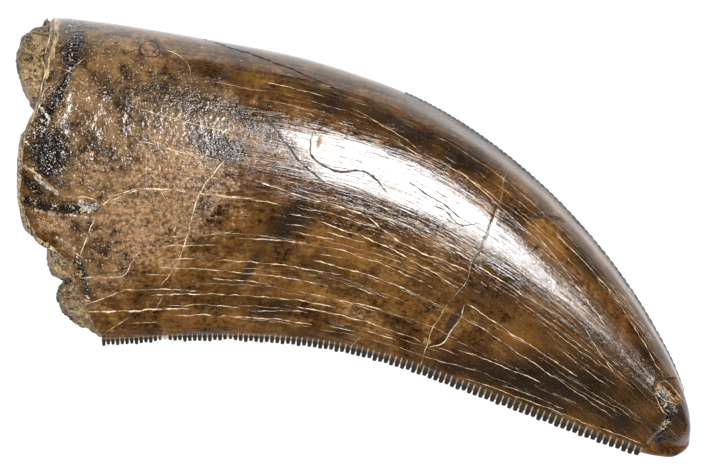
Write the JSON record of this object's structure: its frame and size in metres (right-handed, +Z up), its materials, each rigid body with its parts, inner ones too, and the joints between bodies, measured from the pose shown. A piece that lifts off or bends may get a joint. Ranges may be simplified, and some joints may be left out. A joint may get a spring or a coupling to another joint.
{
  "type": "tyrannosaur tooth",
  "caption": "Fossil crown of a large meat-eating dinosaur: a curved, flattened cone with serrated edges and a sediment plug in its broken base.",
  "frame": {"origin": "Centre of the part's bounding box seen from above, on the plane it lies on.", "axes": "+X runs along the crown from the broken base towards the tip, +Y points to the convex leading edge, and +Z points up, away from the side the tooth lies on."},
  "size_m": [0.0472, 0.0308, 0.0119],
  "materials": {
    "enamel": "glossy fossil enamel, mottled amber, brown and black",
    "sediment": "rough granular sediment, tan and olive"
  },
  "bodies": {
    "root": {"tooth": "enamel", "matrix_fill": "sediment"}
  },
  "joints": []
}
